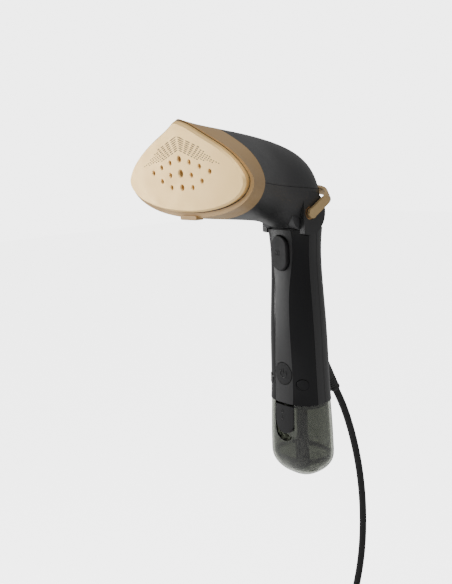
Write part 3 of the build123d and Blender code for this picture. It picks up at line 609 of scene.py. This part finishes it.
coat(smoked_clear("tank_smoke", (0.095, 0.10, 0.085)), "tank_shell")
coat(smoked_clear("ring_smoke", (0.03, 0.03, 0.025)), "tank_ring")
coat(finish("tube_grey", (0.0015, 0.0015, 0.001), (0.003, 0.003, 0.002), 0.5, 0.65, specular=0.08),
     "suction_tube", "filter_sleeve", "filter_foot")
coat(finish("lid_black", (0.012, 0.012, 0.011), (0.018, 0.018, 0.017), 0.3, 0.42), "tank_cap", "tank_valve")
coat(key_black, "filler_flap")
coat(finish("soft_seal", (0.05, 0.05, 0.05), (0.07, 0.07, 0.07), 0.55, 0.7), "tank_seal", "filler_bung")

DROP_X = -2.6
drop = arc(DROP_X, -98.6, 1.3, 60, 300, 14) + [(DROP_X, -95.4)]
drop.append(drop[0])
arrow = [(DROP_X, -101.6), (DROP_X, -106.2)]
arrow_head = [(DROP_X - 1.3, -104.8), (DROP_X, -106.2), (DROP_X + 1.3, -104.8)]
symbol("fill_symbol", "filler_flap", "flap", [drop, arrow, arrow_head], 0.55)


# ---------------------------------------------------------------- boiler and works
# What the casings hide: cast aluminium boiler with its sheathed element and brass nozzle,
# ceramic-bodied temperature parts, white pump, silicone hoses, green board and black switches.
# The boiler and its cover are coloured much darker than bare cast aluminium. This is painted shade, so that
# the vent holes in the plate look dark.
coat(finish("cast_aluminium", (0.20, 0.20, 0.205), (0.30, 0.30, 0.305), 0.42, 0.62, metallic=0.9,
            blotches=220, grain=900, depth=0.5), "steam_chamber", "chamber_cover")
coat(finish("element_sheath", (0.20, 0.19, 0.18), (0.30, 0.28, 0.26), 0.4, 0.55, metallic=0.9),
     "heating_element")
coat(finish("brass", (0.55, 0.38, 0.14), (0.66, 0.48, 0.20), 0.25, 0.4, metallic=1.0), "steam_inlet")
coat(finish("white_ceramic", (0.62, 0.60, 0.55), (0.72, 0.70, 0.65), 0.4, 0.6), "thermostat", "thermal_fuse")
coat(finish("silicone_hose", (0.55, 0.54, 0.52), (0.65, 0.64, 0.62), 0.4, 0.55), "intake_hose", "steam_hose")
coat(finish("pump_white", (0.55, 0.55, 0.53), (0.66, 0.66, 0.64), 0.35, 0.5), "pump")
coat(finish("board_green", (0.01, 0.09, 0.03), (0.02, 0.13, 0.05), 0.3, 0.5, blotches=160), "control_board")
coat(finish("switch_black", (0.02, 0.02, 0.02), (0.03, 0.03, 0.03), 0.35, 0.5), "tact_switch", "microswitch")


# ---------------------------------------------------------------- studio
# Pale level floor under an even white sky, both bright to the eye and through clear plastic
# but dim as lamps.  A large soft key light stands in front, with a top light and a plate light.
def bright_when_seen(tree, dim, bright):
    """Strength that is bright to the camera and through clear plastic, and dim to all else."""
    path = tree.nodes.new("ShaderNodeLightPath")
    strength = tree.nodes.new("ShaderNodeMapRange")
    strength.inputs["To Min"].default_value = dim
    strength.inputs["To Max"].default_value = bright
    through = tree.nodes.new("ShaderNodeMath")
    through.operation = "MAXIMUM"
    tree.links.new(path.outputs["Is Camera Ray"], through.inputs[0])
    tree.links.new(path.outputs["Is Transmission Ray"], through.inputs[1])
    tree.links.new(through.outputs[0], strength.inputs["Value"])
    return strength.outputs["Result"]


def backdrop_white(name):
    """Bright even white for the floor, as under a light tent."""
    material = bpy.data.materials.new(name)
    material.use_nodes = True
    tree = material.node_tree
    shader = tree.nodes["Principled BSDF"]
    shader.inputs["Base Color"].default_value = (0.9, 0.9, 0.9, 1)
    shader.inputs["Roughness"].default_value = 0.9
    shader.inputs["Emission Color"].default_value = (1, 1, 1, 1)
    tree.links.new(bright_when_seen(tree, 0.12, 3.8), shader.inputs["Emission Strength"])
    return material


FLOOR_Z = cad_box[0][2] - 0.03
bpy.ops.object.select_all(action="DESELECT")
bpy.ops.mesh.primitive_plane_add(size=12, location=(0, 0, FLOOR_Z))
floor = bpy.context.object
floor.name = "studio_floor"
floor.data.materials.append(backdrop_white("floor_white"))

world = bpy.data.worlds.new("studio")
bpy.context.scene.world = world
world.use_nodes = True
sky = world.node_tree
sky.nodes["Background"].inputs["Color"].default_value = (1, 1, 1, 1)
sky.links.new(bright_when_seen(sky, 0.42, 4.4), sky.nodes["Background"].inputs["Strength"])


def soft_light(name, place, aim, size, watts):
    """Rectangular soft box at a place, turned to what it lights."""
    lamp = bpy.data.lights.new(name, "AREA")
    lamp.shape = "RECTANGLE"
    lamp.size, lamp.size_y = size
    lamp.energy = watts
    lamp_object = bpy.data.objects.new(name, lamp)
    bpy.context.scene.collection.objects.link(lamp_object)
    lamp_object.location = place
    lamp_object.rotation_euler = (Vector(aim) - Vector(place)).to_track_quat("-Z", "Y").to_euler()


soft_light("key", (0.15, -1.3, 0.85), (0, -0.05, 0.05), (0.6, 0.6), 13)
soft_light("top", (0.35, -0.25, 1.3), (0, -0.05, 0.1), (0.5, 0.9), 8)
soft_light("plate_glow", (-0.80, -0.50, 0.09), (-0.07, -0.12, 0.117), (0.3, 0.5), 3.6)

camera_data = bpy.data.cameras.new("camera")
camera_data.sensor_width = 36
camera_data.lens = 46.785
camera = bpy.data.objects.new("camera", camera_data)
bpy.context.scene.collection.objects.link(camera)
camera.location = (0.46935, -0.47113, 0.12783)
AZIMUTH, PITCH, ROLL = radians(50.33), radians(10.07), radians(-3.02)
aim = Matrix.Rotation(AZIMUTH, 3, "Z") @ Matrix.Rotation(pi / 2 - PITCH, 3, "X")
camera.rotation_euler = (aim @ Matrix.Rotation(ROLL, 3, "Z")).to_euler()
bpy.context.scene.camera = camera
